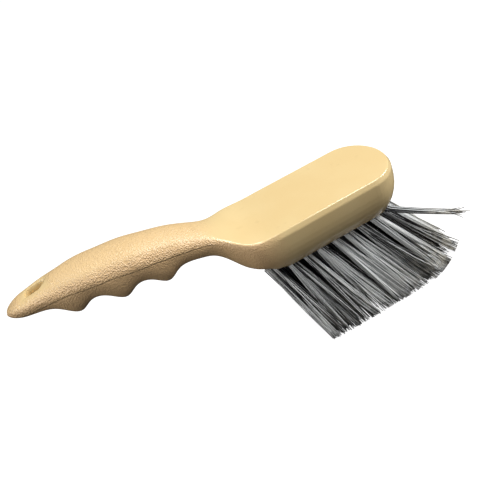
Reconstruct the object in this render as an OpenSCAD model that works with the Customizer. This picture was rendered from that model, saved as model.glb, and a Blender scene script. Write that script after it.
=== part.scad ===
// Grout brush: a handle and block moulded in one piece, with staple-set tufts of stiff filament.
// Millimetres, +Z up, +X towards the toe of the block, -Y is the near side.
// The brush stands on its bristle tips at Z = 0, with the middle of its outline at X = 0, Y = 0.
// Lengths are first worked out from the toe (X = 0) and the flat top of the block (Z = 0).

/* [Body] */
// length of the moulded body, from the toe to the tip of the handle
body_len = 201.5; // [196:0.5:214]
// width of the block at its widest level
head_w = 46; // [44:0.5:50]
// thickness of the block
block_h = 24.5; // [23:0.5:27]
// length of the rounded toe, in plan
toe_len = 20; // [18:0.5:23]
// greatest width of the handle
handle_w = 27; // [24:0.5:30]
// height of the handle's crest over the flat top of the block
handle_rise = 26.5; // [22:0.5:30]

/* [Finger grips] */
// distance from one finger ridge to the next
finger_pitch = 21.5; // [20:0.5:23]
// height of each ridge over the line of the finger valleys
ridge_h = 7; // [5:0.5:8]

/* [Hang slot] */
// width of the slot through the tip of the handle
slot_w = 4.5; // [4.5:0.25:6]
// length of the slot, end to end
slot_len = 9.5; // [9:0.5:14]

/* [Bristles] */
// height of the trimmed bristles below the block
trim_h = 56; // [45:1:60]
// diameter of each drilled tuft hole
hole_d = 5; // [4.5:0.1:5.2]
// distance from one tuft to the next along a row
tuft_pitch = 8.3; // [8:0.1:8.4]
// distance from one row of tufts to the next
row_pitch = 6.4; // [6.2:0.1:6.8]
// forward rake of the tufts at the heel, in degrees
rake_heel = 18; // [8:1:22]
// forward rake of the tufts at the toe, in degrees
rake_toe = 35; // [26:1:36]
// outward lean of the two outer rows, in degrees
side_lean = 11; // [6:1:13]

/* [Hidden] */
body_colour = [0.93, 0.80, 0.58];
bristle_colour = [0.62, 0.63, 0.63];
anchor_colour = [0.78, 0.78, 0.76];

// lip of the block: a small round, then a sloped band down to a crisp edge a little inside the wall
lip_r = 0.9;
lip_slope = 60;
lip_h = 2.4;
lip_inset = 0.4;
round_steps = 4;

// wall of the block: the level of its widest line, and the turn under to the flat bottom
wide_level = 0.36 * block_h;
under_inset = 5.2;
wall_steps = 3;
under_steps = 5;
wall_curve = 1.6;
under_curve = 2.2;
toe_steps = 28;

// lengthwise stations, from the tip: the section turns from oval to flat-topped over the neck,
// the sides swing out over the shoulder, and the underside drops over the heel
tip_x = -body_len;
flat_from = -0.565 * body_len;
flat_to = -0.475 * body_len;
shoulder_from = -0.521 * body_len;
shoulder_to = -0.430 * body_len;
neck_x = -0.53 * body_len;
heel_x = -0.42 * body_len;
join_x = -0.325 * body_len;

// how far the lip lies under the crest where the neck meets the shoulder
shoulder_dome = 2.4;

// round end of the handle
tip_round = 9;
tip_turn = 15;
tip_rings = 6;
station_step = 2.4;

// handle section: a squarish oval that is widest above its middle
oval_power = 2.25;
wide_share = 0.42;
corner_angle = 48;
top_steps = 8;
bottom_steps = 8;

// crest of the handle, as shares of the way from the tip to the join and of the rise
crest_line = [
    [0.00, 0.84], [0.07, 0.89], [0.20, 0.99], [0.30, 1.00], [0.40, 0.95], [0.50, 0.85],
    [0.60, 0.69], [0.67, 0.54], [0.73, 0.38], [0.77, 0.25], [0.81, 0.11], [0.85, 0.035],
    [0.91, 0.00], [1.00, 0.00]
];
// line along the bottoms of the finger valleys, as shares of the same way and rise
valley_line = [
    [0.00, 0.58], [0.07, 0.54], [0.14, 0.48], [0.22, 0.36], [0.30, 0.27], [0.43, 0.12],
    [0.62, -0.04], [0.69, -0.15], [1.00, -0.40]
];
// half width of the handle, as shares of the same way and of the greatest half width
side_line = [
    [0.00, 0.44], [0.07, 0.56], [0.14, 0.70], [0.22, 0.86], [0.32, 0.98], [0.42, 1.00],
    [0.52, 0.97], [0.62, 0.89], [0.70, 0.82], [0.76, 0.81], [1.00, 0.81]
];

// finger ridges: the one nearest the tip, how many, and how broad each is
first_ridge_x = -0.861 * body_len;
ridge_count = 3;
ridge_breadth = 0.27 * finger_pitch;

// middle of the hang slot
slot_from_tip = 16;
slot_x = tip_x + slot_from_tip;

// rows of tufts from the near side to the far side, and the number of tufts in each
row_names = ["a", "b", "c", "d", "e"];
row_tufts = [9, 8, 9, 8, 9];
field_x = -0.232 * body_len;
hole_depth = 13;
half_field_x = tuft_pitch * (max(row_tufts) - 1) / 2;
half_field_y = row_pitch * (len(row_tufts) - 1) / 2;

// a tuft is a little slimmer than its hole, and spreads towards its tip
tuft_gap = 0.05;
tuft_sides = 10;
collar = 2.2;
tip_spread = [1.6, 1.9];
swell_at = 0.4;

// the last tuft of the near row sticks out past the toe, thin and flattened
stray_lean_x = 57;
stray_lean_y = 0;
stray_bend = 2.5;
stray_drop = 34;
stray_spread = [0.75, 0.5];

// flat wire anchors: depth of the upper edge in the hole, height, thickness and bite in the wall
anchor_depth = 9;
anchor_h = 2.2;
anchor_t = 0.5;
anchor_bite = 0.6;
anchor_gap = 0.05;

// how far the drill starts outside the block, and the steps round a drilled hole in a preview
hole_overrun = 6;
hole_steps = 32;

// smooth curve through the points [place, value], level with its neighbours at each point
function slope_at(pts, i) =
    let (a = max(i - 1, 0), b = min(i + 1, len(pts) - 1))
    (pts[b][1] - pts[a][1]) / (pts[b][0] - pts[a][0]);
function piece_of(pts, x, i = 0) =
    (i >= len(pts) - 2 || x < pts[i + 1][0]) ? i : piece_of(pts, x, i + 1);
function curve(pts, x) =
    let (
        i = piece_of(pts, x),
        w = pts[i + 1][0] - pts[i][0],
        s = (x - pts[i][0]) / w,
        ease = s * s * (3 - 2 * s)
    )
    pts[i][1] * (1 - ease) + pts[i + 1][1] * ease
    + w * s * (1 - s) * (slope_at(pts, i) * (1 - s) - slope_at(pts, i + 1) * s);
function smooth_step(a, b, x) =
    let (s = min(max((x - a) / (b - a), 0), 1))
    s * s * (3 - 2 * s);
function range(n) = [for (i = [0 : n - 1]) i];
function reversed(v) = [for (i = [len(v) - 1 : -1 : 0]) v[i]];
function total(v, i = 0) = i < len(v) ? v[i] + total(v, i + 1) : 0;

// lines of the body at any place along it
function way(x) = (x - tip_x) / (join_x - tip_x);
function ridge(x, k) =
    let (d = (x - first_ridge_x - k * finger_pitch) / ridge_breadth)
    ridge_h * exp(-d * d);
function grip_line(x) =
    handle_rise * curve(valley_line, way(x)) - total([for (k = range(ridge_count)) ridge(x, k)]);
function top_at(x) = handle_rise * curve(crest_line, way(x));
function bottom_at(x) =
    let (heel = smooth_step(neck_x, heel_x, x))
    grip_line(x) * (1 - heel) - block_h * heel;
function half_w_at(x) =
    let (shoulder = smooth_step(shoulder_from, shoulder_to, x))
    handle_w / 2 * curve(side_line, way(x)) * (1 - shoulder) + head_w / 2 * shoulder;
function tip_scale(x) =
    let (c = max(cos(tip_turn) - (x - tip_x) / tip_round, 0))
    sqrt(1 - c * c);

// edge of the block, from the flat top down to the flat bottom, as [inset, depth]
band_run = (lip_h - lip_r * (1 - cos(lip_slope))) / tan(lip_slope);
flat_inset = lip_inset + band_run + lip_r * sin(lip_slope);
block_edge = concat(
    [for (i = [0 : round_steps])
        let (a = lip_slope * i / round_steps)
        [flat_inset - lip_r * sin(a), lip_r * (1 - cos(a))]],
    [for (i = [0 : wall_steps])
        let (s = i / wall_steps)
        [lip_inset * pow(1 - s, wall_curve), lip_h + (wide_level - lip_h) * s]],
    [for (i = [1 : under_steps])
        let (s = i / under_steps)
        [under_inset * pow(s, under_curve), wide_level + (block_h - wide_level) * s]]
);
edge_count = len(block_edge);

// a point of the handle's oval section: 0 degrees is the far side, 90 the crest
function oval_point(x, turn) =
    let (
        k = tip_scale(x),
        h = (top_at(x) - bottom_at(x)) * k,
        level = (top_at(x) + bottom_at(x)) / 2 + h / 2 - wide_share * h,
        up = sin(turn),
        across = cos(turn),
        reach = (up > 0 ? wide_share : 1 - wide_share) * h
    )
    [sign(across) * half_w_at(x) * k * pow(abs(across), 2 / oval_power),
     level + sign(up) * reach * pow(abs(up), 2 / oval_power)];

// the same point on the block's section, given by its share of the width and its edge point;
// towards the neck the top is domed, and its lips lie lower than its middle
function block_point(x, side, edge) =
    let (
        dome = shoulder_dome * (1 - smooth_step(flat_to, shoulder_to, x)),
        lip = top_at(x) - dome,
        bulge = edge[1] > 0 ? 0 : dome * (1 - side * side)
    )
    [side * (half_w_at(x) - edge[0]),
     lip + bulge - edge[1] * (lip - bottom_at(x)) / block_h];

// a point between the two, which turns from the handle into the block over the heel
function body_point(x, turn, side, edge) =
    let (
        blend = smooth_step(flat_from, flat_to, x),
        p = oval_point(x, turn) * (1 - blend) + block_point(x, side, edge) * blend
    )
    [x, p[0], p[1]];

// a whole section: crest from far to near, near side down, underside, far side up
function side_turn(j) = corner_angle * (1 - 2 * j / (edge_count - 1));
function cross_turn(i, n) = corner_angle + (180 - 2 * corner_angle) * i / n;
function section(x) = concat(
    [for (i = [1 : top_steps - 1])
        body_point(x, cross_turn(i, top_steps), 1 - 2 * i / top_steps, block_edge[0])],
    [for (j = range(edge_count))
        body_point(x, 180 - side_turn(j), -1, block_edge[j])],
    [for (i = [1 : bottom_steps - 1])
        body_point(x, 180 + cross_turn(i, bottom_steps), 2 * i / bottom_steps - 1,
                   block_edge[edge_count - 1])],
    [for (j = reversed(range(edge_count)))
        body_point(x, side_turn(j), 1, block_edge[j])]
);
section_count = top_steps + bottom_steps - 2 + 2 * edge_count;
near_at = top_steps - 1;
under_at = near_at + edge_count;
far_at = under_at + bottom_steps - 1;

// stations along the handle, closer together round the tip
round_x = tip_x + tip_round * cos(tip_turn);
station_count = ceil((join_x - round_x) / station_step);
stations = concat(
    [for (i = range(tip_rings))
        round_x - tip_round * cos(tip_turn + (90 - tip_turn) * i / tip_rings)],
    [for (i = [0 : station_count]) round_x + (join_x - round_x) * i / station_count]
);
last_ring = (len(stations) - 1) * section_count;
toe_start = len(stations) * section_count;
toe_row = toe_steps + 1;

// outline of the block round its toe at one level, from the near side to the far side
function toe_outline(edge) = [
    for (i = [0 : toe_steps])
        let (a = -90 + 180 * i / toe_steps)
        [-toe_len + (toe_len - edge[0]) * cos(a), (head_w / 2 - edge[0]) * sin(a), -edge[1]]
];

// one level of the block's wall: a section point, the toe outline, the far section point
function wall_level(j) = concat(
    [last_ring + near_at + j],
    [for (i = range(toe_row)) toe_start + j * toe_row + i],
    [last_ring + far_at + edge_count - 1 - j]
);
function strip(upper, lower) = [
    for (i = [0 : len(upper) - 2])
        for (face = [[upper[i], upper[i + 1], lower[i + 1]], [upper[i], lower[i + 1], lower[i]]])
            face
];

// triangles that fill a flat rim from its vertex n, in the middle of the toe
function fan(rim, n) = [
    for (i = [1 : len(rim) - 2])
        [rim[n], rim[(n + i) % len(rim)], rim[(n + i + 1) % len(rim)]]
];
function ring_ids(k) = [for (j = [0 : section_count]) k * section_count + j % section_count];

module body_shell() {
    points = concat(
        [for (x = stations) for (p = section(x)) p],
        [for (edge = block_edge) for (p = toe_outline(edge)) p]
    );
    top_rim = concat(
        [wall_level(0)[0]],
        [for (i = reversed(range(top_steps - 1))) last_ring + i],
        reversed([for (i = [1 : toe_row + 1]) wall_level(0)[i]])
    );
    bottom_rim = concat(
        [wall_level(edge_count - 1)[toe_row + 1]],
        [for (i = reversed(range(bottom_steps - 1))) last_ring + under_at + i],
        [for (i = [0 : toe_row]) wall_level(edge_count - 1)[i]]
    );
    faces = concat(
        [range(section_count)],
        [for (k = [0 : len(stations) - 2])
            for (face = strip(reversed(ring_ids(k)), reversed(ring_ids(k + 1)))) face],
        [for (j = [0 : edge_count - 2])
            for (face = strip(wall_level(j), wall_level(j + 1))) face],
        fan(top_rim, len(top_rim) - 1 - toe_steps / 2),
        fan(bottom_rim, len(bottom_rim) - 1 - toe_steps / 2)
    );
    polyhedron(points, faces, convexity = 8);
}

// tufts: root on the block's flat bottom, lean in plan per unit of drop, and size
function tuft_root(row, i) =
    [field_x + (i - (row_tufts[row] - 1) / 2) * tuft_pitch,
     (row - (len(row_tufts) - 1) / 2) * row_pitch,
     -block_h];
function is_stray(row, i) = row == 0 && i == row_tufts[0] - 1;
function tuft_lean(row, i) =
    let (
        root = tuft_root(row, i),
        s = (root[0] - field_x + half_field_x) / (2 * half_field_x)
    )
    [tan(rake_heel) * (1 - s) + tan(rake_toe) * s, tan(side_lean) * root[1] / half_field_y];

// extra lean below a tuft's mouth: none, or the stray tuft's bend, taken up over a short drop
function tuft_bend(row, i, drop) =
    is_stray(row, i) && drop > 0
        ? ([tan(stray_lean_x), tan(stray_lean_y)] - tuft_lean(row, i))
          * (drop - stray_bend * (1 - exp(-drop / stray_bend)))
        : [0, 0];
function tuft_drop(row, i) = is_stray(row, i) ? stray_drop : trim_h;
function tuft_spread(row, i) = is_stray(row, i) ? stray_spread : tip_spread;
function tuft_name(row, i) = is_stray(row, i) ? "tuft_stray" : str("tuft_", row_names[row], i + 1);
tuft_r = hole_d / 2 - tuft_gap;

// middle of a tuft at a level below (or above, in the hole) the block's bottom
function tuft_middle(row, i, drop) =
    let (root = tuft_root(row, i), out = tuft_lean(row, i) * drop + tuft_bend(row, i, drop))
    [root[0] + out[0], root[1] + out[1], root[2] - drop];

// level section of a tuft: a circle square to the tuft's axis, cut level and spread towards the tip
function tuft_ring(row, i, drop) =
    let (
        lean = tuft_lean(row, i),
        flat = norm(lean),
        along = flat > 0 ? lean / flat : [1, 0],
        across = [-along[1], along[0]],
        grown = smooth_step(collar, tuft_drop(row, i), drop),
        spread = tuft_spread(row, i),
        stretch = 1 / cos(atan(flat)),
        r = [tuft_r * (1 + (spread[0] - 1) * grown), tuft_r * (1 + (spread[1] - 1) * grown)],
        mid = tuft_middle(row, i, drop)
    )
    [for (k = range(tuft_sides))
        let (
            a = 360 * k / tuft_sides,
            u = stretch * cos(a) * r[0],
            v = sin(a) * r[1]
        )
        [mid[0] + along[0] * u + across[0] * v, mid[1] + along[1] * u + across[1] * v, mid[2]]];
function tuft_levels(row, i) =
    let (tilt = atan(norm(tuft_lean(row, i))))
    [tuft_r * sin(tilt) - (hole_depth - tuft_gap) * cos(tilt), 0, collar,
     tuft_drop(row, i) * swell_at, tuft_drop(row, i)];

// the whole brush is moved so that it stands on its tips, with the middle of its outline at 0, 0
all_tufts = [for (row = range(len(row_tufts))) for (i = range(row_tufts[row])) [row, i]];
tip_reach = [for (t = all_tufts) for (p = tuft_ring(t[0], t[1], tuft_drop(t[0], t[1]))) p[0]];
middle_x = (max(max(tip_reach), 0) - body_len) / 2;
module place() {
    translate([-middle_x, 0, block_h + trim_h])
        children();
}

// turns its children so that their Z runs up the hole of a tuft, from the block's bottom
module along_hole(row, i) {
    lean = tuft_lean(row, i);
    translate(tuft_root(row, i))
        rotate([0, 0, atan2(lean[1], lean[0])])
            rotate([0, -atan(norm(lean)), 0])
                children();
}

module tuft_holes() {
    for (t = all_tufts)
        along_hole(t[0], t[1])
            translate([0, 0, -hole_overrun])
                cylinder(h = hole_depth + hole_overrun, d = hole_d, $fn = hole_steps);
}

module anchor_bar(gap) {
    length = hole_d + 2 * anchor_bite + 2 * gap;
    translate([-anchor_t / 2 - gap, -length / 2, anchor_depth - anchor_h - gap])
        cube([anchor_t + 2 * gap, length, anchor_h + 2 * gap]);
}

// cutter for the slot, which starts below the handle and ends above its crest
module hang_slot() {
    straight = slot_len - slot_w;
    cut_h = 3 * handle_rise;
    translate([slot_x, 0, -handle_rise]) {
        translate([-straight / 2, -slot_w / 2, 0])
            cube([straight, slot_w, cut_h]);
        for (side = [-1, 1])
            translate([side * straight / 2, 0, 0])
                cylinder(h = cut_h, d = slot_w, $fn = hole_steps);
    }
}

module handle_block() {
    color(body_colour)
        difference() {
            body_shell();
            tuft_holes();
            for (t = all_tufts)
                along_hole(t[0], t[1])
                    anchor_bar(anchor_gap);
            hang_slot();
        }
}

module tuft(row, i) {
    levels = tuft_levels(row, i);
    rings = [for (drop = levels) tuft_ring(row, i, drop)];
    faces = concat(
        [reversed(range(tuft_sides))],
        [for (k = [0 : len(levels) - 2])
            for (face = strip(tuft_ids(k), tuft_ids(k + 1))) face],
        [[for (j = range(tuft_sides)) (len(levels) - 1) * tuft_sides + j]]
    );
    color(bristle_colour)
        difference() {
            polyhedron([for (ring = rings) for (p = ring) p], faces, convexity = 4);
            along_hole(row, i)
                anchor_bar(anchor_gap);
        }
}
function tuft_ids(k) = [for (j = [0 : tuft_sides]) k * tuft_sides + j % tuft_sides];

module wire_anchors() {
    color(anchor_colour)
        for (t = all_tufts)
            along_hole(t[0], t[1])
                anchor_bar(0);
}

place() handle_block();
place() wire_anchors();
for (t = all_tufts) {
    place() tuft(t[0], t[1]);
}
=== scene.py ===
"""Grout brush: the dressed model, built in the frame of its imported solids.

The moulded handle and block is a refined copy of its solid, and each tuft of
filament is a bundle of separate strands set along its own solid.
"""

import logging
import math
from dataclasses import dataclass, field
from enum import Enum
from typing import ClassVar

import bpy
import numpy as np
from mathutils import Euler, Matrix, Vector


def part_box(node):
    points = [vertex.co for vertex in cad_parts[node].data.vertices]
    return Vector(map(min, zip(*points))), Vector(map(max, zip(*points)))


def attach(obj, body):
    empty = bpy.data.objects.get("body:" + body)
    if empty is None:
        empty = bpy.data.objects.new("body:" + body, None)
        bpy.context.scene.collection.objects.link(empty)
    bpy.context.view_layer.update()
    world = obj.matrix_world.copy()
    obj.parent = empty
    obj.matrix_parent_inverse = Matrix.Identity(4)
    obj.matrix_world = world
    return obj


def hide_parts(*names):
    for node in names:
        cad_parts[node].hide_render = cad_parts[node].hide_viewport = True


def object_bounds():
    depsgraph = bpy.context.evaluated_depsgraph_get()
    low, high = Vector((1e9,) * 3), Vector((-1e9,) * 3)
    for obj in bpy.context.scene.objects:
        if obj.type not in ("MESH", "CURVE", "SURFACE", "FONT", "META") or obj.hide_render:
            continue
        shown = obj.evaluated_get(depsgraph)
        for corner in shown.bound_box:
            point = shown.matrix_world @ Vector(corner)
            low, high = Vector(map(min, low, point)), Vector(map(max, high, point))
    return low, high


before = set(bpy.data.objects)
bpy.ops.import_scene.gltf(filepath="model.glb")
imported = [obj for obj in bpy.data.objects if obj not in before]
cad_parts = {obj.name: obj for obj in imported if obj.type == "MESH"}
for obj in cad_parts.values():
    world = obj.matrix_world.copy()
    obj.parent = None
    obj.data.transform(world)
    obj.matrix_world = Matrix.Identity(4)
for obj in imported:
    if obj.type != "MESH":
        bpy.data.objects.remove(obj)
CAD_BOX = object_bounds()

logging.basicConfig(level=logging.INFO, format="%(message)s")
LOG = logging.getLogger("grout_brush")

MM = 0.001
BODY = "root"
TUFTS = "tuft_"
STRAY_TUFT = TUFTS + "stray"
Colour = tuple[float, float, float, float]
Place = tuple[float, float, float]
PLAIN_WHITE: Colour = (1.0, 1.0, 1.0, 1.0)

# the block's own landmarks, in metres in the shared frame
TRIM_HEIGHT = 56.0 * MM
BLOCK_THICKNESS = 24.5 * MM
TOE_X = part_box("handle_block")[1].x
BLOCK_TOP_Z = TRIM_HEIGHT + BLOCK_THICKNESS

# the mould's parting line on the handle's sides: distance behind the toe and height over
# the block's flat top, in millimetres, from the tip to the neck
PARTING_LINE = [
    (-192.0, 17.6),
    (-180.0, 19.0),
    (-172.0, 19.2),
    (-162.0, 18.2),
    (-152.0, 17.1),
    (-140.0, 14.6),
    (-131.0, 13.0),
    (-121.0, 10.8),
    (-110.0, 7.7),
    (-98.0, 3.6),
]


class Tone(Enum):
    """The kinds of filament that are mixed in a tuft, as a lightness from 0 to 1."""

    BLACK = 0.03
    CHARCOAL = 0.22
    GREY = 0.48
    SILVER = 0.74
    WHITE = 0.97


class Row(Enum):
    """A row's place in the block, which sets the mix of its filament. The inner rows' dark mix is
    painted shade.
    """

    OUTER = "outer"
    INNER = "inner"
    STRAY = "stray"


MIXES: dict[Row, dict[Tone, float]] = {
    Row.OUTER: {
        Tone.BLACK: 0.30,
        Tone.CHARCOAL: 0.08,
        Tone.GREY: 0.08,
        Tone.SILVER: 0.16,
        Tone.WHITE: 0.38,
    },
    # mostly black: painted shade for the inner rows, which sit in shadow under the block
    Row.INNER: {
        Tone.BLACK: 0.58,
        Tone.CHARCOAL: 0.18,
        Tone.GREY: 0.08,
        Tone.SILVER: 0.08,
        Tone.WHITE: 0.08,
    },
    Row.STRAY: {
        Tone.BLACK: 0.10,
        Tone.CHARCOAL: 0.12,
        Tone.GREY: 0.20,
        Tone.SILVER: 0.28,
        Tone.WHITE: 0.30,
    },
}


def deselect_all() -> None:
    """Leaves nothing selected and no object active."""
    if bpy.context.object and bpy.context.object.mode != "OBJECT":
        bpy.ops.object.mode_set(mode="OBJECT")
    bpy.ops.object.select_all(action="DESELECT")
    bpy.context.view_layer.objects.active = None


def work_on(piece: bpy.types.Object) -> None:
    """Selects one object alone and makes it active."""
    deselect_all()
    piece.select_set(True)
    bpy.context.view_layer.objects.active = piece


def store_values(mesh: bpy.types.Mesh, values: dict[str, np.ndarray]) -> None:
    """Stores a value at each point of a mesh, for its material to read.

    Args:
        mesh: The mesh.
        values: The attributes' names, and their values in the order of the points.
    """
    for name, numbers in values.items():
        store = mesh.attributes.new(name, "FLOAT", "POINT")
        store.data.foreach_set("value", numbers.astype(np.float32))


def new_material(name: str) -> tuple[bpy.types.Material, bpy.types.Node]:
    """Makes an empty node material with a Principled BSDF joined to its output.

    Args:
        name: The material's name.

    Returns:
        The material and its Principled BSDF node.
    """
    material = bpy.data.materials.new(name)
    material.use_nodes = True
    nodes = material.node_tree.nodes
    nodes.clear()
    output = nodes.new("ShaderNodeOutputMaterial")
    shader = nodes.new("ShaderNodeBsdfPrincipled")
    material.node_tree.links.new(shader.outputs["BSDF"], output.inputs["Surface"])
    return material, shader


@dataclass(frozen=True)
class Patches:
    """A pattern of soft patches, and the values that the shared mottle group takes for it.

    The scale is in patches per metre, and the detail in octaves of finer patches. The mask
    starts at the low level of the noise and is full at the high one.
    """

    scale: float
    detail: float
    low: float
    high: float
    inputs: ClassVar[tuple[str, ...]] = ("Scale", "Detail", "Low", "High")


@dataclass(frozen=True)
class NodeChain:
    """Short calls for adding and joining the nodes of one tree.

    A Mix node has sockets of one name for each kind of data, so its colours go by number.
    """

    tree: bpy.types.NodeTree
    mix_colours: ClassVar[tuple[int, int]] = (6, 7)
    mixed_colour: ClassVar[int] = 2

    def add(self, kind: str, **settings: object) -> bpy.types.Node:
        """Adds a node and sets its properties.

        Args:
            kind: The node's type name.
            settings: Properties to set on it.

        Returns:
            The new node.
        """
        node = self.tree.nodes.new(kind)
        for key, value in settings.items():
            setattr(node, key, value)
        return node

    def join(self, source: bpy.types.NodeSocket, target: bpy.types.NodeSocket) -> None:
        """Links one socket to another."""
        self.tree.links.new(source, target)

    def feed(self, slot: bpy.types.NodeSocket, value: object) -> None:
        """Links a socket to an input, or sets the input to a plain value."""
        if isinstance(value, bpy.types.NodeSocket):
            self.join(value, slot)
        else:
            slot.default_value = value

    def attribute(self, name: str) -> bpy.types.NodeSocket:
        """Reads a mesh attribute as a factor."""
        return self.add("ShaderNodeAttribute", attribute_name=name).outputs["Fac"]

    def place(self) -> bpy.types.NodeSocket:
        """Reads the piece's Object coordinates."""
        return self.add("ShaderNodeTexCoord").outputs["Object"]

    def math(self, operation: str, first: object, second: object = 0.0) -> bpy.types.NodeSocket:
        """Adds a Math node.

        Args:
            operation: The node's operation.
            first: A socket or a number.
            second: A socket or a number.

        Returns:
            The node's result.
        """
        node = self.add("ShaderNodeMath", operation=operation)
        for slot, value in zip(node.inputs, (first, second)):
            self.feed(slot, value)
        return node.outputs[0]

    def spread(
        self, value: bpy.types.NodeSocket, low: object, high: object, to_low: float, to_high: float
    ) -> bpy.types.NodeSocket:
        """Maps a value smoothly from one range to another.

        Args:
            value: The socket to map.
            low: Start of the range.
            high: End of the range.
            to_low: Result at the start.
            to_high: Result at the end.

        Returns:
            The mapped value.
        """
        node = self.add("ShaderNodeMapRange", interpolation_type="SMOOTHSTEP")
        self.join(value, node.inputs["Value"])
        for key, number in (
            ("From Min", low),
            ("From Max", high),
            ("To Min", to_low),
            ("To Max", to_high),
        ):
            self.feed(node.inputs[key], number)
        return node.outputs["Result"]

    def blend(
        self, factor: bpy.types.NodeSocket, first: object, second: object
    ) -> bpy.types.NodeSocket:
        """Mixes two colours.

        Args:
            factor: How much of the second.
            first: A socket or a colour of four numbers.
            second: A socket or a colour of four numbers.

        Returns:
            The mixed colour.
        """
        node = self.add("ShaderNodeMix", data_type="RGBA")
        self.join(factor, node.inputs["Factor"])
        for index, value in zip(self.mix_colours, (first, second)):
            self.feed(node.inputs[index], value)
        return node.outputs[self.mixed_colour]

    def mottle(self, group: bpy.types.NodeTree, patches: Patches) -> bpy.types.NodeSocket:
        """Places the shared mottle group.

        Args:
            group: The mottle group.
            patches: The pattern that it draws.

        Returns:
            The group's mask, from 0 to 1.
        """
        node = self.add("ShaderNodeGroup", node_tree=group)
        for name in patches.inputs:
            node.inputs[name].default_value = getattr(patches, name.lower())
        return node.outputs["Mask"]

    def roughen(
        self, base: float, *shares: tuple[bpy.types.NodeSocket, float]
    ) -> bpy.types.NodeSocket:
        """Adds up a roughness from a base and from masks that each raise it by a share.

        Args:
            base: The roughness where no mask shows.
            shares: A mask and how much it adds, as often as needed.

        Returns:
            The roughness.
        """
        rough = base
        for mask, share in shares:
            rough = self.math("ADD", self.math("MULTIPLY", mask, share), rough)
        return rough


def mottle_group() -> bpy.types.NodeTree:
    """Builds the group of soft patches that every finish of the brush uses.

    Returns:
        A group with a Mask output that varies over the piece.
    """
    group = bpy.data.node_groups.new("mottle", "ShaderNodeTree")
    for name in Patches.inputs:
        group.interface.new_socket(name, in_out="INPUT", socket_type="NodeSocketFloat")
    group.interface.new_socket("Mask", in_out="OUTPUT", socket_type="NodeSocketFloat")
    chain = NodeChain(group)
    given = chain.add("NodeGroupInput")
    result = chain.add("NodeGroupOutput")
    noise = chain.add("ShaderNodeTexNoise")
    chain.join(chain.place(), noise.inputs["Vector"])
    chain.join(given.outputs["Scale"], noise.inputs["Scale"])
    chain.join(given.outputs["Detail"], noise.inputs["Detail"])
    mask = chain.spread(
        noise.outputs["Fac"], given.outputs["Low"], given.outputs["High"], 0.0, 1.0
    )
    chain.join(mask, result.inputs["Mask"])
    return group


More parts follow.
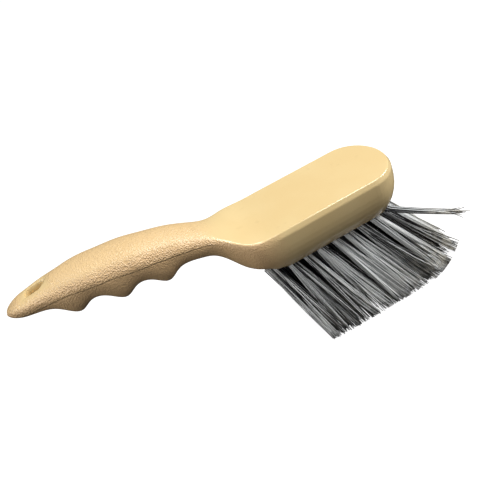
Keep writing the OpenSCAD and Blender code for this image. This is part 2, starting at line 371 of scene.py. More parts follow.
@dataclass(frozen=True)
class MouldedPlastic:
    """Satin tan plastic with a pebbled grip, a parting line and light handling marks."""

    light: Colour = (0.865, 0.668, 0.340, 1.0)
    deep: Colour = (0.840, 0.632, 0.308, 1.0)
    # redder grip tint: partly the handle's own tint, partly painted shade, as it is laid more on
    # the sides than the top
    grip: Colour = (0.860, 0.575, 0.292, 1.0)
    scuff: Colour = (0.58, 0.41, 0.19, 1.0)
    clouding: Patches = Patches(30.0, 3.0, 0.35, 0.68)
    satin: Patches = Patches(120.0, 3.0, 0.30, 0.70)
    fine_marks: Patches = Patches(210.0, 4.0, 0.56, 0.70)
    handled_spots: Patches = Patches(45.0, 2.0, 0.54, 0.64)
    scuff_share: float = 0.22
    grime_share: float = 0.40
    roughness: float = 0.15
    satin_roughness: float = 0.05
    mark_roughness: float = 0.03
    grain_roughness: float = 0.25
    specular: float = 0.85
    pebbles_per_metre: float = 1350.0
    pebble_smoothness: float = 0.6
    pebble_slope: tuple[float, float] = (0.05, 0.75)
    pebble_depth: float = 0.32
    depth_under_seam: float = 0.60
    seam_half_width: float = 0.45
    seam_step: float = 0.30
    grain_change: float = 0.4
    step_change: float = 0.25

    def build(self, mottle: bpy.types.NodeTree) -> bpy.types.Material:
        """Builds the material. It reads the piece's seam, seam_seen and grain attributes.

        Args:
            mottle: The shared group of soft patches.

        Returns:
            The finish.
        """
        material, shader = new_material("moulded_tan_plastic")
        chain = NodeChain(material.node_tree)
        seam = chain.attribute("seam")
        seen = chain.attribute("seam_seen")
        grain = chain.attribute("grain")
        marks = chain.mottle(mottle, self.fine_marks)
        colour = self.colour(chain, mottle, marks, seam, seen, grain)
        chain.join(colour, shader.inputs["Base Color"])
        chain.join(self.relief(chain, seam, seen, grain), shader.inputs["Normal"])
        rough = chain.roughen(
            self.roughness,
            (chain.mottle(mottle, self.satin), self.satin_roughness),
            (marks, self.mark_roughness),
            (grain, self.grain_roughness),
        )
        chain.join(rough, shader.inputs["Roughness"])
        shader.inputs["Specular IOR Level"].default_value = self.specular
        return material

    def colour(
        self,
        chain: NodeChain,
        mottle: bpy.types.NodeTree,
        marks: bpy.types.NodeSocket,
        seam: bpy.types.NodeSocket,
        seen: bpy.types.NodeSocket,
        grain: bpy.types.NodeSocket,
    ) -> bpy.types.NodeSocket:
        """Mixes the tan, its clouding, the scuffs and the grime along the parting line.

        Args:
            chain: The material's nodes.
            mottle: The shared group of soft patches.
            marks: The mask of fine marks.
            seam: Height over the parting line.
            seen: How plainly the line shows.
            grain: Pebble strength, which also lays on the redder grip tint, partly painted side
                shade.

        Returns:
            The base colour.
        """
        base = chain.blend(chain.mottle(mottle, self.clouding), self.light, self.deep)
        # the grip tint is partly painted shade, since grain weighs the handle's sides more than
        # its top
        base = chain.blend(grain, base, self.grip)
        scuffed = chain.math("MULTIPLY", marks, chain.mottle(mottle, self.handled_spots))
        scuffed = chain.math("MULTIPLY", scuffed, self.scuff_share)
        base = chain.blend(scuffed, base, self.scuff)
        off_line = chain.math("ABSOLUTE", seam)
        line = chain.spread(off_line, 0.0, self.seam_half_width, self.grime_share, 0.0)
        return chain.blend(chain.math("MULTIPLY", line, seen), base, self.scuff)

    def relief(
        self,
        chain: NodeChain,
        seam: bpy.types.NodeSocket,
        seen: bpy.types.NodeSocket,
        grain: bpy.types.NodeSocket,
    ) -> bpy.types.NodeSocket:
        """Raises the pebbles and steps the surface in below the parting line.

        Args:
            chain: The material's nodes.
            seam: Height over the parting line.
            seen: How plainly the line shows.
            grain: How strong the pebbles are.

        Returns:
            The normal.
        """
        cells = chain.add("ShaderNodeTexVoronoi", feature="SMOOTH_F1")
        cells.inputs["Scale"].default_value = self.pebbles_per_metre
        cells.inputs["Smoothness"].default_value = self.pebble_smoothness
        chain.join(chain.place(), cells.inputs["Vector"])
        dome = chain.spread(cells.outputs["Distance"], *self.pebble_slope, 1.0, 0.0)
        change = self.grain_change
        above = chain.spread(seam, -change, change, self.depth_under_seam, 1.0)
        pebbled = chain.math("MULTIPLY", chain.math("MULTIPLY", dome, grain), above)
        edge = chain.spread(seam, -self.step_change, self.step_change, 0.0, 1.0)
        step = chain.math("MULTIPLY", edge, seen)
        height = chain.math(
            "ADD",
            chain.math("MULTIPLY", pebbled, self.pebble_depth),
            chain.math("MULTIPLY", step, self.seam_step),
        )
        bump = chain.add("ShaderNodeBump")
        bump.inputs["Strength"].default_value = 1.0
        bump.inputs["Distance"].default_value = MM
        chain.join(height, bump.inputs["Height"])
        return bump.outputs["Normal"]


@dataclass(frozen=True)
class MixedFilament:
    """Glossy stiff filament, from black to white, with dusty worn tips and painted shade near the
    roots.
    """

    dust: Colour = (0.80, 0.76, 0.66, 1.0)
    dust_ends: tuple[float, float] = (TOE_X - 35.0 * MM, TOE_X + 28.0 * MM)
    dust_shares: tuple[float, float] = (0.20, 0.95)
    # painted shade, laid near the roots of the strands that sit under the block
    shade: Colour = (0.010, 0.010, 0.011, 1.0)
    stops: tuple[tuple[float, Colour], ...] = (
        (0.00, (0.006, 0.006, 0.007, 1.0)),
        (0.30, (0.026, 0.027, 0.028, 1.0)),
        (0.50, (0.150, 0.157, 0.160, 1.0)),
        (0.72, (0.660, 0.685, 0.690, 1.0)),
        (0.90, (0.930, 0.960, 0.955, 1.0)),
        (1.00, (0.950, 0.970, 0.960, 1.0)),
    )
    shade_reach: float = 0.55
    dust_from: float = 0.30
    dusting: Patches = Patches(260.0, 2.0, 0.25, 0.75)
    gloss: Patches = Patches(420.0, 2.0, 0.30, 0.70)
    roughness: float = 0.26
    gloss_roughness: float = 0.16
    specular: float = 0.6

    def build(self, mottle: bpy.types.NodeTree) -> bpy.types.Material:
        """Builds the material. It reads the strands' tone, along and root_shade attributes.

        Args:
            mottle: The shared group of soft patches.

        Returns:
            The finish.
        """
        material, shader = new_material("mixed_filament")
        chain = NodeChain(material.node_tree)
        along = chain.attribute("along")
        near_root = chain.spread(along, 0.0, self.shade_reach, 1.0, 0.0)
        # painted shade near the root, as strong as the tuft's root_shade
        shaded = chain.math("MULTIPLY", near_root, chain.attribute("root_shade"))
        colour = chain.blend(shaded, self.tones(chain), self.shade)
        forward = chain.add("ShaderNodeSeparateXYZ")
        chain.join(chain.place(), forward.inputs["Vector"])
        toeward = chain.spread(forward.outputs["X"], *self.dust_ends, *self.dust_shares)
        tipward = chain.spread(along, self.dust_from, 1.0, 0.0, 1.0)
        worn = chain.math("MULTIPLY", tipward, toeward)
        dusty = chain.math("MULTIPLY", worn, chain.mottle(mottle, self.dusting))
        chain.join(chain.blend(dusty, colour, self.dust), shader.inputs["Base Color"])
        gloss = chain.mottle(mottle, self.gloss)
        rough = chain.roughen(self.roughness, (gloss, self.gloss_roughness))
        chain.join(rough, shader.inputs["Roughness"])
        shader.inputs["Specular IOR Level"].default_value = self.specular
        return material

    def tones(self, chain: NodeChain) -> bpy.types.NodeSocket:
        """Turns each strand's tone into its colour."""
        ramp = chain.add("ShaderNodeValToRGB")
        marks = ramp.color_ramp.elements
        for place, _ in self.stops[1:-1]:
            marks.new(place)
        for mark, (place, colour) in zip(marks, self.stops):
            mark.position = place
            mark.color = colour
        chain.join(chain.attribute("tone"), ramp.inputs["Fac"])
        return ramp.outputs["Color"]


@dataclass(frozen=True)
class AnchorWire:
    """Plain drawn steel wire with faint draw lines."""

    bright: Colour = (0.62, 0.61, 0.59, 1.0)
    worn: Colour = (0.42, 0.40, 0.37, 1.0)
    draw_lines: Patches = Patches(1800.0, 2.0, 0.30, 0.70)
    roughness: float = 0.25
    line_roughness: float = 0.25

    def build(self, mottle: bpy.types.NodeTree) -> bpy.types.Material:
        """Builds the material.

        Args:
            mottle: The shared group of soft patches.

        Returns:
            The finish.
        """
        material, shader = new_material("anchor_wire")
        chain = NodeChain(material.node_tree)
        lines = chain.mottle(mottle, self.draw_lines)
        chain.join(chain.blend(lines, self.bright, self.worn), shader.inputs["Base Color"])
        rough = chain.roughen(self.roughness, (lines, self.line_roughness))
        chain.join(rough, shader.inputs["Roughness"])
        shader.inputs["Metallic"].default_value = 1.0
        return material


@dataclass
class MouldedBody:
    """The handle and block: one moulding, its grip rounded over the solid's facets.

    Stretches along the handle are in millimetres behind the toe, the slot's sizes in
    millimetres, and how far a surface faces up is the height of its normal.
    """

    node: str = "handle_block"
    weld: float = 0.002 * MM
    cuts: int = 2
    rounding_factor: float = 0.5
    handle_from: tuple[float, float] = (-92.0, -76.0)
    handle_passes: int = 12
    shoulder: tuple[float, float, float, float] = (-118.0, -104.0, -86.0, -74.0)
    shoulder_passes: int = 90
    crest: tuple[float, float, float, float] = (-177.0, -162.0, -96.0, -80.0)
    crest_passes: int = 160
    crest_facing: tuple[float, float] = (3.0, 0.6)
    slot_middle: float = -185.5
    slot_halves: tuple[float, float] = (5.0, 2.5)
    slot_fade: float = 4.0
    crisp_angle: float = 20.0
    top_grain: tuple[float, float] = (-110.0, -96.0)
    side_grain: tuple[float, float] = (-86.0, -70.0)
    top_facing: tuple[float, float] = (0.55, 0.30)
    top_share: float = 0.60
    seam_fade: tuple[float, float] = (-112.0, -100.0)

    def build(self, finish: bpy.types.Material) -> bpy.types.Object:
        """Builds, dresses and places the moulding.

        Args:
            finish: The plastic.

        Returns:
            The finished piece.
        """
        piece = self.copy_solid()
        self.refine(piece)
        self.soften(piece)
        self.mark(piece)
        piece.data.materials.clear()
        piece.data.materials.append(finish)
        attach(piece, BODY)
        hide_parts(self.node)
        return piece

    def copy_solid(self) -> bpy.types.Object:
        """Copies the solid's mesh into a new object and welds its loose triangles."""
        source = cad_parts[self.node]
        piece = bpy.data.objects.new("moulded_body", source.data.copy())
        bpy.context.scene.collection.objects.link(piece)
        work_on(piece)
        bpy.ops.object.mode_set(mode="EDIT")
        bpy.ops.mesh.select_all(action="SELECT")
        bpy.ops.mesh.remove_doubles(threshold=self.weld)
        bpy.ops.object.mode_set(mode="OBJECT")
        return piece

    @staticmethod
    def places(piece: bpy.types.Object) -> np.ndarray:
        """Gives each point's X, Y and Z in millimetres, from the toe and the block's top."""
        points = np.zeros(len(piece.data.vertices) * 3)
        piece.data.vertices.foreach_get("co", points)
        return (points.reshape(-1, 3) - np.array([TOE_X, 0.0, BLOCK_TOP_Z])) / MM

    def off_slot(self, places: np.ndarray) -> np.ndarray:
        """Gives 0 at the hang slot's walls and rim, rising to 1 a little way off."""
        along = np.abs(places[:, 0] - self.slot_middle) - self.slot_halves[0]
        across = np.abs(places[:, 1]) - self.slot_halves[1]
        return np.clip(np.maximum(along, across) / self.slot_fade, 0.0, 1.0)

    def refine(self, piece: bpy.types.Object) -> None:
        """Divides every facet evenly, so that the shading has no seams.

        Args:
            piece: The welded copy.
        """
        work_on(piece)
        bpy.ops.object.mode_set(mode="EDIT")
        bpy.ops.mesh.select_all(action="SELECT")
        bpy.ops.mesh.subdivide(number_cuts=self.cuts)
        bpy.ops.mesh.select_all(action="SELECT")
        bpy.ops.mesh.quads_convert_to_tris()
        bpy.ops.object.mode_set(mode="OBJECT")

    def soften(self, piece: bpy.types.Object) -> None:
        """Rounds the handle and shades the whole body smooth, with the block's edges kept.

        Args:
            piece: The refined copy.
        """
        behind = self.places(piece)[:, 0]
        gain, offset = self.crest_facing
        upward = np.clip(self.facing_up(piece) * gain - offset, 0.0, 1.0)
        self.round_off(piece, self.fade(behind, self.handle_from), self.handle_passes)
        self.round_off(piece, self.stretch(behind, self.shoulder), self.shoulder_passes)
        crest = self.stretch(behind, self.crest) * upward
        self.round_off(piece, crest, self.crest_passes, height_only=True)
        bpy.ops.object.shade_smooth_by_angle(angle=math.radians(self.crisp_angle))
        weighted = piece.modifiers.new("weighted", "WEIGHTED_NORMAL")
        weighted.keep_sharp = True
        bpy.ops.object.modifier_apply(modifier=weighted.name)

    @staticmethod
    def facing_up(piece: bpy.types.Object) -> np.ndarray:
        """Gives how far each point's surface faces up, from -1 to 1."""
        return np.array([vertex.normal.z for vertex in piece.data.vertices])

    def round_off(
        self,
        piece: bpy.types.Object,
        weights: np.ndarray,
        passes: int,
        height_only: bool = False,
    ) -> None:
        """Smooths a part of the mesh.

        Args:
            piece: The mesh's object.
            weights: How far each point takes part, from 0 to 1.
            passes: How often it is smoothed.
            height_only: Whether points move in height alone.
        """
        group = piece.vertex_groups.new(name="part")
        for index in np.flatnonzero(weights > 0.0):
            group.add([int(index)], float(weights[index]), "REPLACE")
        rounding = piece.modifiers.new("rounding", "SMOOTH")
        rounding.factor = self.rounding_factor
        rounding.iterations = passes
        rounding.vertex_group = group.name
        rounding.use_x = not height_only
        rounding.use_y = not height_only
        bpy.ops.object.modifier_apply(modifier=rounding.name)
        piece.vertex_groups.clear()

    @staticmethod
    def stretch(behind: np.ndarray, ends: tuple[float, float, float, float]) -> np.ndarray:
        """Gives 1 between the two inner ends, 0 past the outer ones, and slopes between."""
        return np.interp(behind, ends, (0.0, 1.0, 1.0, 0.0))

    def mark(self, piece: bpy.types.Object) -> None:
        """Stores where the seam runs and how strong the pebbled grain is.

        Args:
            piece: The smoothed body. Its seam attribute is in millimetres over the line.
        """
        places = self.places(piece)
        behind = places[:, 0]
        line_x, line_z = np.array(PARTING_LINE).T
        seam = places[:, 2] - np.interp(behind, line_x, line_z)
        seen = self.fade(behind, self.seam_fade) * self.off_slot(places)
        level, rise = self.top_facing
        upward = np.clip((self.facing_up(piece) - level) / rise, 0.0, 1.0)
        top = self.fade(behind, self.top_grain)
        side = self.fade(behind, self.side_grain)
        # grain also lays on the redder grip tint, more on the sides than the top, which is partly
        # painted shade
        grain = self.top_share * top * upward + side * (1.0 - upward)
        grain *= self.off_slot(places)
        store_values(piece.data, {"seam": seam, "seam_seen": seen, "grain": grain})

    @staticmethod
    def fade(behind: np.ndarray, ends: tuple[float, float]) -> np.ndarray:
        """Gives 1 on the handle's side of the two ends, 0 on the block's, and a slope between."""
        return np.clip((ends[1] - behind) / (ends[1] - ends[0]), 0.0, 1.0)


@dataclass
class Strand:
    """One short length of filament, modelled once and then copied along every path."""

    sides: int = 5
    cuts: int = 7
    radius: float = 0.25 * MM
    tip_taper: float = 0.75
    tip_from: float = 0.999
    half_length: ClassVar[float] = 0.5
    points: np.ndarray = field(init=False, repr=False)
    faces: list[tuple[int, ...]] = field(init=False, repr=False)

    def __post_init__(self) -> None:
        """Models the strand along Z from 0 to 1 and keeps its points and faces."""
        deselect_all()
        centre = (0.0, 0.0, self.half_length)
        bpy.ops.mesh.primitive_cylinder_add(
            vertices=self.sides, radius=self.radius, depth=2.0 * self.half_length, location=centre
        )
        piece = bpy.context.object
        mesh = piece.data
        bpy.ops.object.mode_set(mode="EDIT")
        bpy.ops.mesh.select_mode(type="EDGE")
        bpy.ops.mesh.select_all(action="DESELECT")
        bpy.ops.object.mode_set(mode="OBJECT")
        for edge in mesh.edges:
            ends = [mesh.vertices[i].co.z for i in edge.vertices]
            edge.select = abs(ends[0] - ends[1]) > self.half_length
        bpy.ops.object.mode_set(mode="EDIT")
        bpy.ops.mesh.subdivide(number_cuts=self.cuts)
        bpy.ops.object.mode_set(mode="OBJECT")
        points = np.array([tuple(v.co) for v in mesh.vertices]) + np.array(centre)
        points[points[:, 2] > self.tip_from, :2] *= self.tip_taper
        self.points = points
        self.faces = [tuple(p.vertices) for p in mesh.polygons]
        bpy.data.objects.remove(piece)


@dataclass
class Core:
    """The line and the half widths of a tuft's solid, from its tip up to the block."""

    heights: np.ndarray
    middles: np.ndarray
    halves: np.ndarray
    mouth_slack: ClassVar[float] = 0.05 * MM
    fewest_in_ring: ClassVar[int] = 8
    decimals: ClassVar[int] = 5

    @classmethod
    def of_node(cls, node: str) -> "Core":
        """Reads the levels of a tuft's solid.

        Args:
            node: The tuft's node.

        Returns:
            Its core, with the levels from the tip up to the block's bottom.
        """
        points = np.array([tuple(v.co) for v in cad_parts[node].data.vertices])
        heights = np.round(points[:, 2], cls.decimals)
        found = [z for z in np.unique(heights) if z <= TRIM_HEIGHT + cls.mouth_slack]
        rings = [(z, points[heights == z]) for z in found]
        kept = [(z, ring) for z, ring in rings if len(ring) >= cls.fewest_in_ring]
        middles = np.array([(ring.min(0) + ring.max(0))[:2] / 2 for _, ring in kept])
        halves = np.array([(ring.max(0) - ring.min(0))[:2] / 2 for _, ring in kept])
        return cls(np.array([z for z, _ in kept]), middles, halves)

    def at(self, z: np.ndarray) -> tuple[np.ndarray, np.ndarray]:
        """Gives the middle and the half widths at any heights.

        Args:
            z: The heights. Those inside the block follow the tuft's slope at its mouth.

        Returns:
            Middles and half widths, in two columns each.
        """
        slope = (self.middles[-1] - self.middles[-2]) / (self.heights[-1] - self.heights[-2])
        middle = np.column_stack([np.interp(z, self.heights, self.middles[:, k]) for k in (0, 1)])
        middle += np.clip(z - self.heights[-1], 0.0, None)[:, None] * slope
        half = np.column_stack([np.interp(z, self.heights, self.halves[:, k]) for k in (0, 1)])
        return middle, half


@dataclass
class FilamentTuft:
    """One staple-set bundle of filament, laid along its own solid.

    A place across the tuft is a share of its half widths, or of its spread at the tips. A
    lock is a clump of strands that is drawn aside and tinted together, and a rogue is a
    strand that wanders off on its own.
    """

    node: str
    row: Row
    strand: Strand
    seed: int
    outward: tuple[float, float] = (0.0, 0.0)
    count: int = 96
    widths: tuple[float, float] = (0.80, 1.30)
    root_disc: float = 0.93
    path_points: int = 9
    locks: int = 6
    lock_pull: float = 0.36
    lock_tone: float = 0.45
    looseness: float = 0.36
    overlap: float = 1.45
    edge_crowding: float = 1.8
    wander_power: float = 1.5
    tone_shift: float = 0.0
    # painted light: strands on the brush's outside are made lighter
    outer_painted_light: float = 0.22
    root_shade: float = 0.8
    root_inside: float = 1.5 * MM
    heel_spill: float = 0.0
    mixing: float = 0.22
    spread: tuple[float, float] = (5.3 * MM, 5.0 * MM)
    bow: float = 0.5 * MM
    ragged: float = 0.5 * MM
    rogue_share: float = 0.05
    rogue_reach: float = 5.0 * MM
    side_limit: float = 1.3 * MM
    corner_from: float = -10.0 * MM
    corner_to: tuple[float, float] = (31.5 * MM, -13.7 * MM)
    least_width: ClassVar[float] = 1e-6

    def build(self, material: bpy.types.Material) -> bpy.types.Object:
        """Lays the strands and joins them into one piece.

        Args:
            material: The filament's finish.

        Returns:
            The finished tuft.
        """
        dice = np.random.default_rng(self.seed)
        core = Core.of_node(self.node)
        middles = np.array([self.in_disc(dice) for _ in range(self.locks)])
        pulls = dice.normal(0.0, self.lock_pull, (self.locks, 2))
        tints = dice.normal(0.0, self.lock_tone, self.locks)
        steps = self.strand.points[:, 2]
        points, faces, tone = [], [], []
        for index in range(self.count):
            root = self.in_disc(dice)
            lock = int(np.argmin(np.linalg.norm(middles - root, axis=1)))
            tip = self.draw_tip(dice, root, pulls[lock])
            path = self.path(dice, core, root, tip)
            base = index * len(steps)
            centre = np.column_stack([np.interp(steps, path[:, 3], path[:, k]) for k in range(3)])
            width = dice.uniform(*self.widths)
            points.append(centre + self.strand.points[:, :2] * width @ self.across(path))
            faces.extend(tuple(base + v for v in face) for face in self.strand.faces)
            tone.append(np.full(len(steps), self.draw_tone(dice, root, tints[lock])))
        piece = self.join(np.concatenate(points), faces, material)
        values = {
            "tone": np.concatenate(tone),
            "along": np.tile(steps, self.count),
            "root_shade": np.full(len(steps) * self.count, self.root_shade),
        }
        store_values(piece.data, values)
        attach(piece, BODY)
        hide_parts(self.node)
        return piece

    def join(
        self, points: np.ndarray, faces: list[tuple[int, ...]], material: bpy.types.Material
    ) -> bpy.types.Object:
        """Makes one mesh of all the strands.

        Args:
            points: Every strand's points.
            faces: Every strand's faces.
            material: The filament's finish.

        Returns:
            The tuft's object.
        """
        mesh = bpy.data.meshes.new(self.node + "_strands")
        mesh.from_pydata(points.tolist(), [], faces)
        mesh.materials.append(material)
        piece = bpy.data.objects.new(self.node + "_strands", mesh)
        bpy.context.scene.collection.objects.link(piece)
        work_on(piece)
        bpy.ops.object.shade_smooth()
        return piece

    def draw_tip(
        self, dice: np.random.Generator, root: np.ndarray, pull: np.ndarray
    ) -> np.ndarray:
        """Draws where a strand ends. Round at its root, a tuft is near square at its tips.

        Args:
            dice: The tuft's own random numbers.
            root: The strand's place at its root, as a share of the tuft's half widths.
            pull: How far the strand's lock is drawn aside at its tip.

        Returns:
            The place at the tip, as a share of the spread.
        """
        widest = max(float(np.abs(root).max()), self.least_width)
        squared = root * float(np.linalg.norm(root)) / widest
        tip = squared * (1.0 - self.mixing) + dice.uniform(-1.0, 1.0, 2) * self.mixing + pull
        tip = np.clip(tip + dice.normal(0.0, self.looseness, 2), -self.overlap, self.overlap)
        edge = np.sign(self.outward)
        outer = np.clip(tip * edge, -1.0, 1.0)
        crowded = 1.0 - 2.0 * ((1.0 - outer) / 2.0) ** self.edge_crowding
        return np.where(edge == 0.0, tip, crowded * edge)

    def in_disc(self, dice: np.random.Generator) -> np.ndarray:
        """Draws a place in a disc a little smaller than the tuft, each as likely as the next."""
        turn = dice.uniform(0.0, 2.0 * math.pi)
        reach = self.root_disc * math.sqrt(dice.uniform(0.0, 1.0))
        return reach * np.array([math.cos(turn), math.sin(turn)])

    def draw_tone(self, dice: np.random.Generator, root: np.ndarray, tint: float) -> float:
        """Draws a strand's lightness. Those on the outside of the brush are made the lightest, as
        painted light.

        Args:
            dice: The tuft's own random numbers.
            root: The strand's place at its root.
            tint: The lightness that its lock adds.

        Returns:
            The lightness, from 0 to 1.
        """
        mix = MIXES[self.row]
        drawn = dice.choice([kind.value for kind in mix], p=list(mix.values()))
        painted_light = self.outer_painted_light * float(root @ np.array(self.outward))
        return float(np.clip(drawn + tint + painted_light + self.tone_shift, 0.0, 1.0))

    def path(
        self, dice: np.random.Generator, core: Core, root: np.ndarray, tip: np.ndarray
    ) -> np.ndarray:
        """Draws one strand's path, from inside its hole to its tip.

        Args:
            dice: The tuft's own random numbers.
            core: The tuft's line and half widths.
            root: The strand's place across the tuft at its root.
            tip: Its place at its tip.

        Returns:
            Rows of X, Y, Z and the share of the way along.
        """
        share = np.linspace(0.0, 1.0, self.path_points)
        end = core.heights[0] + abs(dice.normal(0.0, self.ragged))
        start = TRIM_HEIGHT + self.root_inside
        z = start + (end - start) * share
        middle, half = core.at(z)
        offset = np.outer(1.0 - share, root * half[0]) + np.outer(share, tip * self.spread)
        bend = np.outer(np.sin(math.pi * share), dice.normal(0.0, self.bow, 2))
        wander = np.zeros(2)
        if dice.uniform() < self.rogue_share:
            wander = dice.uniform(-1.0, 1.0, 2) * self.rogue_reach
        flat = middle + offset + bend + np.outer(share**self.wander_power, wander)
        flat[:, 0] -= self.heel_spill * abs(root[0]) * (1.0 - share)
        high = CAD_BOX[1].y + self.side_limit
        flat[:, 1] = np.clip(flat[:, 1], self.near_limit(flat[-1, 0]), high)
        return np.column_stack([flat, z, share])

    def near_limit(self, x: float) -> float:
        """Gives how far the tips reach to the near side, which is less at the worn toe corner."""
        straight = CAD_BOX[0].y - self.side_limit
        corner_x, corner_y = self.corner_to
        share = (x - TOE_X - self.corner_from) / (corner_x - self.corner_from)
        return straight + (corner_y - straight) * max(share, 0.0) ** 2

    @staticmethod
    def across(path: np.ndarray) -> np.ndarray:
        """Gives two directions square to a path's run, as rows."""
        run = path[-1, :3] - path[0, :3]
        run /= np.linalg.norm(run)
        first = np.cross(run, [0.0, 1.0, 0.0])
        first /= np.linalg.norm(first)
        return np.array([first, np.cross(run, first)])


@dataclass
class BristleField:
    """All the tufts of the block, row by row."""

    outward_rows: dict[str, float] = field(default_factory=lambda: {"a": -1.0, "e": 1.0})
    outward_ends: float = 0.7
    inner_end_shade: float = 0.3
    end_spreads: dict[str, tuple[float, float]] = field(
        default_factory=lambda: {
            "b": (10.2 * MM, 6.0 * MM),
            "c": (6.0 * MM, 7.4 * MM),
            "d": (10.2 * MM, 6.0 * MM),
        }
    )
    outer_count: int = 116
    heel_spill: float = 4.0 * MM
    drift: float = 0.16
    drift_lightest: int = 2
    drift_repeat: float = 7.0
    seed: int = 1207

    def build(self, material: bpy.types.Material) -> list[bpy.types.Object]:
        """Builds every tuft on its own solid.

        Args:
            material: The filament's finish.

        Returns:
            The finished tufts.
        """
        strand = Strand()
        names = sorted(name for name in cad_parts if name.startswith(TUFTS))
        return [self.tuft(name, names, strand).build(material) for name in names]

    def tuft(self, name: str, names: list[str], strand: Strand) -> FilamentTuft:
        """Sets up one tuft, with its own mix and looseness.

        Args:
            name: Its node.
            names: All the tufts' nodes, whose order gives each its random numbers.
            strand: The strand to copy.

        Returns:
            The tuft, ready to build.
        """
        seed = self.seed + names.index(name)
        if name == STRAY_TUFT:
            return self.stray(name, strand, seed)
        row, *digits = name.removeprefix(TUFTS)
        number = int("".join(digits))
        last = len([other for other in names if other.startswith(TUFTS + row)])
        side = self.outward_rows.get(row, 0.0)
        end = {1: -self.outward_ends, last: self.outward_ends}.get(number, 0.0)
        turn = 2.0 * math.pi * (number - self.drift_lightest) / self.drift_repeat
        shift = self.drift * math.cos(turn)
        if not side and not end:
            return FilamentTuft(name, Row.INNER, strand, seed, tone_shift=shift)
        usual = FilamentTuft.spread
        return FilamentTuft(
            name,
            Row.OUTER,
            strand,
            seed,
            outward=(end, side),
            count=self.outer_count,
            tone_shift=shift,
            root_shade=0.0 if side else self.inner_end_shade,
            heel_spill=self.heel_spill if number == 1 else 0.0,
            spread=self.end_spreads.get(row, usual) if end else usual,
        )

    @staticmethod
    def stray(name: str, strand: Strand, seed: int) -> FilamentTuft:
        """Sets up the thin tuft that use has bent out past the toe.

        Args:
            name: Its node.
            strand: The strand to copy.
            seed: The start of its random numbers.

        Returns:
            The tuft, ready to build. No corner is worn off it.
        """
        return FilamentTuft(
            name,
            Row.STRAY,
            strand,
            seed,
            count=34,
            locks=3,
            mixing=0.30,
            spread=(1.3 * MM, 1.9 * MM),
            bow=0.25 * MM,
            ragged=1.6 * MM,
            rogue_share=0.35,
            rogue_reach=4.0 * MM,
            wander_power=9.0,
            outer_painted_light=0.0,
            root_shade=0.0,
            tone_shift=0.06,
            corner_to=(1.0, 0.0),
        )


@dataclass
class StaplePack:
    """The wire anchors that hold the tufts, kept as their own solids."""

    node: str = "wire_anchors"

    def dress(self, finish: bpy.types.Material) -> None:
        """Gives the anchors their steel finish."""
        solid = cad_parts[self.node]
        if solid.data.materials:
            solid.material_slots[0].material = finish
        else:
            solid.data.materials.append(finish)


@dataclass(frozen=True)
class SoftLamp:
    """A rectangular lamp, hung at a place and aimed at another, all in metres and watts.

    Its size is given along the upright plane that it points in, and then level across it.
    """

    name: str
    place: Place
    aim: Place
    size: tuple[float, float]
    watts: float

    def hang(self) -> None:
        """Hangs the lamp in the scene."""
        data = bpy.data.lights.new(self.name, "AREA")
        data.shape = "RECTANGLE"
        data.size_y, data.size = self.size
        data.energy = self.watts
        lamp = bpy.data.objects.new(self.name, data)
        lamp.location = self.place
        beam = Vector(self.aim) - Vector(self.place)
        lamp.rotation_euler = beam.to_track_quat("-Z", "Y").to_euler()
        bpy.context.scene.collection.objects.link(lamp)


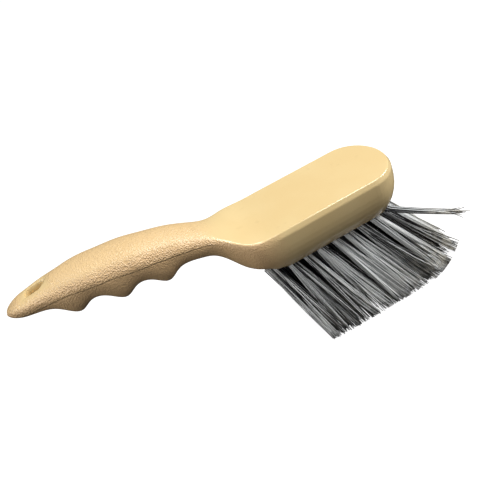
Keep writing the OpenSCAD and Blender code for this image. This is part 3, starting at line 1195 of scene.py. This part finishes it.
@dataclass
class Studio:
    """Plain pale floor, soft light and the camera at the photograph's angle.

    The lamps are a long one overhead, one past the toe and two weak ones by the handle. The
    floor and the world are white to the camera alone, and throw little light on the brush.
    """

    floor_size: float = 6.0
    floor_drop: float = 0.2 * MM
    floor_roughness: float = 0.9
    camera_place: Place = (TOE_X - 123.44 * MM, -213.49 * MM, BLOCK_TOP_Z + 151.43 * MM)
    camera_turn: tuple[float, float, float] = (49.855, 17.932, -24.328)
    lens: float = 37.44
    sensor: float = 36.0
    nearest_seen: float = 0.005
    lamps: tuple[SoftLamp, ...] = (
        SoftLamp("overhead", (0.45, 0.02, 1.05), (0.0, 0.02, 0.06), (0.3, 0.94), 6.6),
        SoftLamp("toe_side", (0.85, -0.08, 0.60), (0.04, 0.0, 0.06), (0.4, 0.4), 7.6),
        SoftLamp("handle_side", (-0.70, 0.05, 0.75), (-0.06, 0.0, 0.09), (0.5, 0.5), 2.6),
        SoftLamp("front", (-0.60, -0.45, 0.45), (-0.03, 0.0, 0.08), (0.5, 0.5), 1.7),
    )
    fill: float = 0.08
    fill_tint: Colour = (1.0, 0.91, 0.935, 1.0)
    floor_throw: float = 0.05
    floor_paint: float = 0.30
    floor_glow: tuple[float, float] = (0.92, 1.0)
    glow_reach: tuple[float, float] = (0.12, 0.55)

    def build(self) -> None:
        """Sets up the floor, the world, the lamps and the camera."""
        self.floor()
        self.world()
        for lamp in self.lamps:
            lamp.hang()
        self.camera()
        bpy.context.scene.view_settings.view_transform = "Standard"

    def floor(self) -> None:
        """Lays the floor just under the bristle tips."""
        deselect_all()
        level = (0.0, 0.0, -self.floor_drop)
        bpy.ops.mesh.primitive_plane_add(size=self.floor_size, location=level)
        floor = bpy.context.object
        floor.name = "studio_floor"
        floor.data.materials.append(self.floor_material())

    def floor_material(self) -> bpy.types.Material:
        """Makes a floor that looks white to the camera and throws little light back."""
        material, shader = new_material("studio_white")
        chain = NodeChain(material.node_tree)
        rays = chain.add("ShaderNodeLightPath")
        seen = rays.outputs["Is Camera Ray"]
        throw = (self.floor_throw,) * 3 + (1.0,)
        paint = (self.floor_paint,) * 3 + (1.0,)
        chain.join(chain.blend(seen, throw, paint), shader.inputs["Base Color"])
        length = chain.add("ShaderNodeVectorMath", operation="LENGTH")
        chain.join(chain.place(), length.inputs[0])
        glow = chain.spread(length.outputs["Value"], *self.glow_reach, *self.floor_glow)
        chain.join(chain.math("MULTIPLY", seen, glow), shader.inputs["Emission Strength"])
        shader.inputs["Emission Color"].default_value = PLAIN_WHITE
        shader.inputs["Roughness"].default_value = self.floor_roughness
        shader.inputs["Specular IOR Level"].default_value = 0.0
        return material

    def world(self) -> None:
        """Makes the world white to the camera and dim to the object."""
        world = bpy.data.worlds.new("studio_world")
        bpy.context.scene.world = world
        world.use_nodes = True
        chain = NodeChain(world.node_tree)
        rays = chain.add("ShaderNodeLightPath")
        seen = rays.outputs["Is Camera Ray"]
        strength = chain.math("ADD", self.fill, chain.math("MULTIPLY", seen, 1.0 - self.fill))
        back = world.node_tree.nodes["Background"]
        chain.join(chain.blend(seen, self.fill_tint, PLAIN_WHITE), back.inputs["Color"])
        chain.join(strength, back.inputs["Strength"])

    def camera(self) -> None:
        """Places the camera as the photograph was taken."""
        data = bpy.data.cameras.new("camera")
        data.sensor_width = self.sensor
        data.lens = self.lens
        data.clip_start = self.nearest_seen
        camera = bpy.data.objects.new("camera", data)
        camera.location = self.camera_place
        camera.rotation_euler = Euler([math.radians(a) for a in self.camera_turn])
        bpy.context.scene.collection.objects.link(camera)
        bpy.context.scene.camera = camera


def main() -> None:
    """Builds the brush and its studio, in order."""
    Studio().build()
    mottle = mottle_group()
    body = MouldedBody().build(MouldedPlastic().build(mottle))
    LOG.info("%s: %d faces", body.name, len(body.data.polygons))
    tufts = BristleField().build(MixedFilament().build(mottle))
    LOG.info("%d tufts, %d faces", len(tufts), sum(len(t.data.polygons) for t in tufts))
    StaplePack().dress(AnchorWire().build(mottle))
    deselect_all()


if __name__ == "__main__":
    main()
